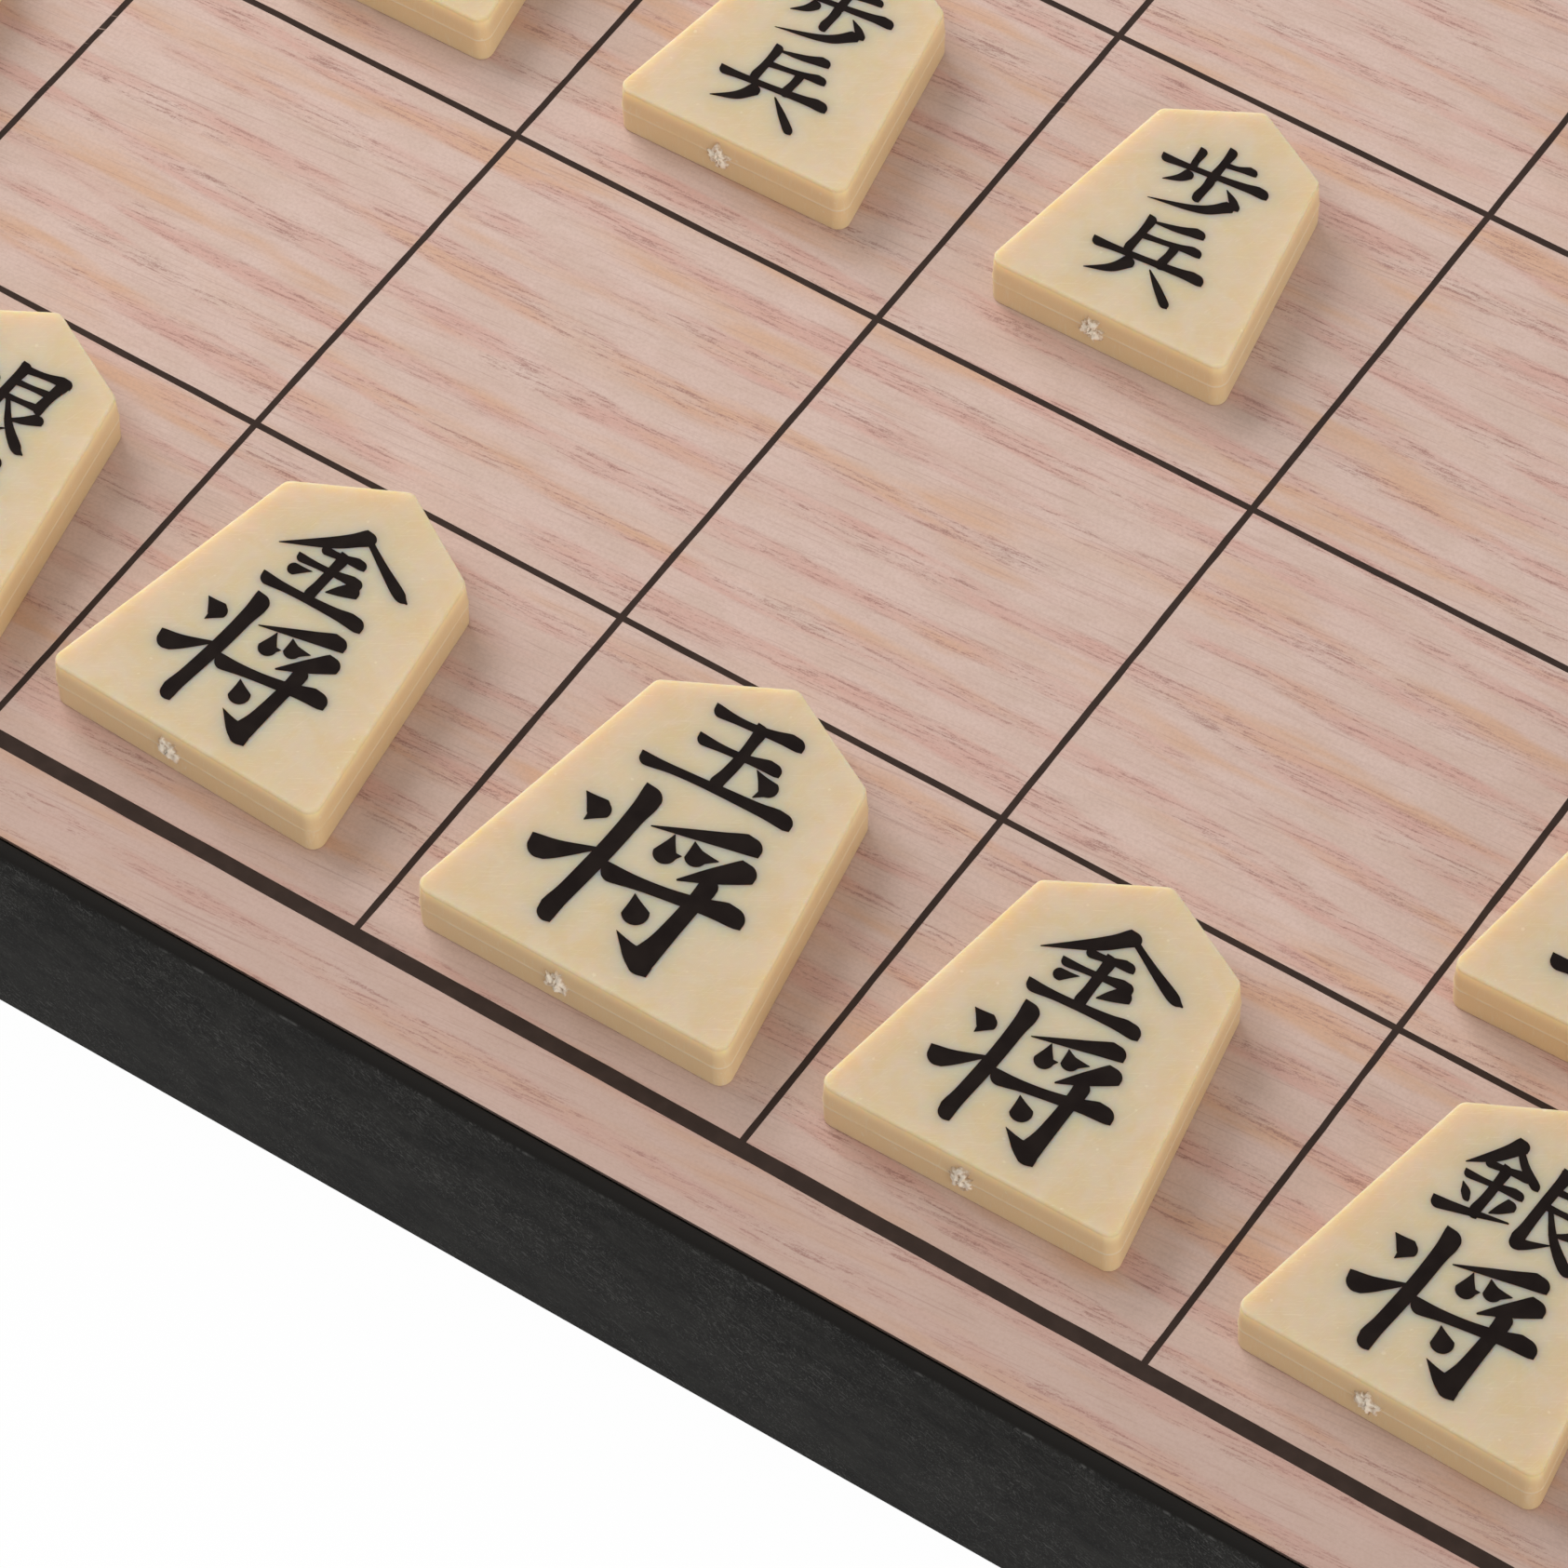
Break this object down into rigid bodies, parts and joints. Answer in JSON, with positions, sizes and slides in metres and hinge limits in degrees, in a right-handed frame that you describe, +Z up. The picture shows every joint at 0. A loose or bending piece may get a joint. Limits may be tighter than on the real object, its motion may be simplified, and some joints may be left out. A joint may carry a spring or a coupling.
{
  "type": "folding magnetic shogi set",
  "caption": "Folding travel shogi set: two hinged black case halves with a printed wood-grain board over steel, and loose magnetic wedge-shaped pieces.",
  "frame": {"origin": "under the middle of the fold, on the surface that the feet stand on", "axes": "+Z up; +X along the ranks to the near player's right; +Y away from the near player"},
  "size_m": [0.25, 0.25, 0.0217],
  "materials": {
    "black_plastic": "fine matt texture",
    "steel": "bright cold-rolled",
    "printed_film": "satin film printed with wood grain and a black grid",
    "rubber": "matt",
    "magnet": "nickel plated",
    "ivory_plastic": "satin ivory with printed black marks"
  },
  "bodies": {
    "near_half": {"near_case": "black_plastic", "near_steel_plate": "steel", "near_printed_sheet": "printed_film", "near_foot_left_outer": "rubber", "near_foot_left_fold": "rubber", "near_foot_right_outer": "rubber", "near_foot_right_fold": "rubber", "near_closing_magnet_left": "magnet", "near_closing_magnet_right": "magnet", "left_hinge_pin": "steel", "right_hinge_pin": "steel"},
    "far_half": {"far_case": "black_plastic", "far_steel_plate": "steel", "far_printed_sheet": "printed_film", "far_foot_left_outer": "rubber", "far_foot_left_fold": "rubber", "far_foot_right_outer": "rubber", "far_foot_right_fold": "rubber", "far_closing_magnet_left": "magnet", "far_closing_magnet_right": "magnet"},
    "near_lance_file9": {"near_lance_file9": "ivory_plastic"},
    "near_knight_file8": {"near_knight_file8": "ivory_plastic"},
    "near_silver_file7": {"near_silver_file7": "ivory_plastic"},
    "near_gold_file6": {"near_gold_file6": "ivory_plastic"},
    "near_king": {"near_king": "ivory_plastic"},
    "near_gold_file4": {"near_gold_file4": "ivory_plastic"},
    "near_silver_file3": {"near_silver_file3": "ivory_plastic"},
    "near_knight_file2": {"near_knight_file2": "ivory_plastic"},
    "near_lance_file1": {"near_lance_file1": "ivory_plastic"},
    "near_rook": {"near_rook": "ivory_plastic"},
    "near_bishop": {"near_bishop": "ivory_plastic"},
    "near_pawn_file1": {"near_pawn_file1": "ivory_plastic"},
    "near_pawn_file2": {"near_pawn_file2": "ivory_plastic"},
    "near_pawn_file3": {"near_pawn_file3": "ivory_plastic"},
    "near_pawn_file4": {"near_pawn_file4": "ivory_plastic"},
    "near_pawn_file5": {"near_pawn_file5": "ivory_plastic"},
    "near_pawn_file6": {"near_pawn_file6": "ivory_plastic"},
    "near_pawn_file7": {"near_pawn_file7": "ivory_plastic"},
    "near_pawn_file8": {"near_pawn_file8": "ivory_plastic"},
    "near_pawn_file9": {"near_pawn_file9": "ivory_plastic"},
    "far_lance_file9": {"far_lance_file9": "ivory_plastic"},
    "far_knight_file8": {"far_knight_file8": "ivory_plastic"},
    "far_silver_file7": {"far_silver_file7": "ivory_plastic"},
    "far_gold_file6": {"far_gold_file6": "ivory_plastic"},
    "far_king": {"far_king": "ivory_plastic"},
    "far_gold_file4": {"far_gold_file4": "ivory_plastic"},
    "far_silver_file3": {"far_silver_file3": "ivory_plastic"},
    "far_knight_file2": {"far_knight_file2": "ivory_plastic"},
    "far_lance_file1": {"far_lance_file1": "ivory_plastic"},
    "far_rook": {"far_rook": "ivory_plastic"},
    "far_bishop": {"far_bishop": "ivory_plastic"},
    "far_pawn_file1": {"far_pawn_file1": "ivory_plastic"},
    "far_pawn_file2": {"far_pawn_file2": "ivory_plastic"},
    "far_pawn_file3": {"far_pawn_file3": "ivory_plastic"},
    "far_pawn_file4": {"far_pawn_file4": "ivory_plastic"},
    "far_pawn_file5": {"far_pawn_file5": "ivory_plastic"},
    "far_pawn_file6": {"far_pawn_file6": "ivory_plastic"},
    "far_pawn_file7": {"far_pawn_file7": "ivory_plastic"},
    "far_pawn_file8": {"far_pawn_file8": "ivory_plastic"},
    "far_pawn_file9": {"far_pawn_file9": "ivory_plastic"}
  },
  "joints": [
    {"name": "fold_hinge", "type": "hinge", "parent": "near_half", "child": "far_half", "pos_m": [0, 0, 0.00225], "axis": [-1, 0, 0], "range_deg": [0, 180]},
    {"name": "near_lance_file9_lift", "type": "slide", "parent": "near_half", "child": "near_lance_file9", "axis": [0, 0, 1], "range_m": [0, 0.03]},
    {"name": "near_knight_file8_lift", "type": "slide", "parent": "near_half", "child": "near_knight_file8", "axis": [0, 0, 1], "range_m": [0, 0.03]},
    {"name": "near_silver_file7_lift", "type": "slide", "parent": "near_half", "child": "near_silver_file7", "axis": [0, 0, 1], "range_m": [0, 0.03]},
    {"name": "near_gold_file6_lift", "type": "slide", "parent": "near_half", "child": "near_gold_file6", "axis": [0, 0, 1], "range_m": [0, 0.03]},
    {"name": "near_king_lift", "type": "slide", "parent": "near_half", "child": "near_king", "axis": [0, 0, 1], "range_m": [0, 0.03]},
    {"name": "near_gold_file4_lift", "type": "slide", "parent": "near_half", "child": "near_gold_file4", "axis": [0, 0, 1], "range_m": [0, 0.03]},
    {"name": "near_silver_file3_lift", "type": "slide", "parent": "near_half", "child": "near_silver_file3", "axis": [0, 0, 1], "range_m": [0, 0.03]},
    {"name": "near_knight_file2_lift", "type": "slide", "parent": "near_half", "child": "near_knight_file2", "axis": [0, 0, 1], "range_m": [0, 0.03]},
    {"name": "near_lance_file1_lift", "type": "slide", "parent": "near_half", "child": "near_lance_file1", "axis": [0, 0, 1], "range_m": [0, 0.03]},
    {"name": "near_rook_lift", "type": "slide", "parent": "near_half", "child": "near_rook", "axis": [0, 0, 1], "range_m": [0, 0.03]},
    {"name": "near_bishop_lift", "type": "slide", "parent": "near_half", "child": "near_bishop", "axis": [0, 0, 1], "range_m": [0, 0.03]},
    {"name": "near_pawn_file1_lift", "type": "slide", "parent": "near_half", "child": "near_pawn_file1", "axis": [0, 0, 1], "range_m": [0, 0.03]},
    {"name": "near_pawn_file2_lift", "type": "slide", "parent": "near_half", "child": "near_pawn_file2", "axis": [0, 0, 1], "range_m": [0, 0.03]},
    {"name": "near_pawn_file3_lift", "type": "slide", "parent": "near_half", "child": "near_pawn_file3", "axis": [0, 0, 1], "range_m": [0, 0.03]},
    {"name": "near_pawn_file4_lift", "type": "slide", "parent": "near_half", "child": "near_pawn_file4", "axis": [0, 0, 1], "range_m": [0, 0.03]},
    {"name": "near_pawn_file5_lift", "type": "slide", "parent": "near_half", "child": "near_pawn_file5", "axis": [0, 0, 1], "range_m": [0, 0.03]},
    {"name": "near_pawn_file6_lift", "type": "slide", "parent": "near_half", "child": "near_pawn_file6", "axis": [0, 0, 1], "range_m": [0, 0.03]},
    {"name": "near_pawn_file7_lift", "type": "slide", "parent": "near_half", "child": "near_pawn_file7", "axis": [0, 0, 1], "range_m": [0, 0.03]},
    {"name": "near_pawn_file8_lift", "type": "slide", "parent": "near_half", "child": "near_pawn_file8", "axis": [0, 0, 1], "range_m": [0, 0.03]},
    {"name": "near_pawn_file9_lift", "type": "slide", "parent": "near_half", "child": "near_pawn_file9", "axis": [0, 0, 1], "range_m": [0, 0.03]},
    {"name": "far_lance_file9_lift", "type": "slide", "parent": "far_half", "child": "far_lance_file9", "axis": [0, 0, 1], "range_m": [0, 0.03]},
    {"name": "far_knight_file8_lift", "type": "slide", "parent": "far_half", "child": "far_knight_file8", "axis": [0, 0, 1], "range_m": [0, 0.03]},
    {"name": "far_silver_file7_lift", "type": "slide", "parent": "far_half", "child": "far_silver_file7", "axis": [0, 0, 1], "range_m": [0, 0.03]},
    {"name": "far_gold_file6_lift", "type": "slide", "parent": "far_half", "child": "far_gold_file6", "axis": [0, 0, 1], "range_m": [0, 0.03]},
    {"name": "far_king_lift", "type": "slide", "parent": "far_half", "child": "far_king", "axis": [0, 0, 1], "range_m": [0, 0.03]},
    {"name": "far_gold_file4_lift", "type": "slide", "parent": "far_half", "child": "far_gold_file4", "axis": [0, 0, 1], "range_m": [0, 0.03]},
    {"name": "far_silver_file3_lift", "type": "slide", "parent": "far_half", "child": "far_silver_file3", "axis": [0, 0, 1], "range_m": [0, 0.03]},
    {"name": "far_knight_file2_lift", "type": "slide", "parent": "far_half", "child": "far_knight_file2", "axis": [0, 0, 1], "range_m": [0, 0.03]},
    {"name": "far_lance_file1_lift", "type": "slide", "parent": "far_half", "child": "far_lance_file1", "axis": [0, 0, 1], "range_m": [0, 0.03]},
    {"name": "far_rook_lift", "type": "slide", "parent": "far_half", "child": "far_rook", "axis": [0, 0, 1], "range_m": [0, 0.03]},
    {"name": "far_bishop_lift", "type": "slide", "parent": "far_half", "child": "far_bishop", "axis": [0, 0, 1], "range_m": [0, 0.03]},
    {"name": "far_pawn_file1_lift", "type": "slide", "parent": "far_half", "child": "far_pawn_file1", "axis": [0, 0, 1], "range_m": [0, 0.03]},
    {"name": "far_pawn_file2_lift", "type": "slide", "parent": "far_half", "child": "far_pawn_file2", "axis": [0, 0, 1], "range_m": [0, 0.03]},
    {"name": "far_pawn_file3_lift", "type": "slide", "parent": "far_half", "child": "far_pawn_file3", "axis": [0, 0, 1], "range_m": [0, 0.03]},
    {"name": "far_pawn_file4_lift", "type": "slide", "parent": "far_half", "child": "far_pawn_file4", "axis": [0, 0, 1], "range_m": [0, 0.03]},
    {"name": "far_pawn_file5_lift", "type": "slide", "parent": "far_half", "child": "far_pawn_file5", "axis": [0, 0, 1], "range_m": [0, 0.03]},
    {"name": "far_pawn_file6_lift", "type": "slide", "parent": "far_half", "child": "far_pawn_file6", "axis": [0, 0, 1], "range_m": [0, 0.03]},
    {"name": "far_pawn_file7_lift", "type": "slide", "parent": "far_half", "child": "far_pawn_file7", "axis": [0, 0, 1], "range_m": [0, 0.03]},
    {"name": "far_pawn_file8_lift", "type": "slide", "parent": "far_half", "child": "far_pawn_file8", "axis": [0, 0, 1], "range_m": [0, 0.03]},
    {"name": "far_pawn_file9_lift", "type": "slide", "parent": "far_half", "child": "far_pawn_file9", "axis": [0, 0, 1], "range_m": [0, 0.03]}
  ]
}
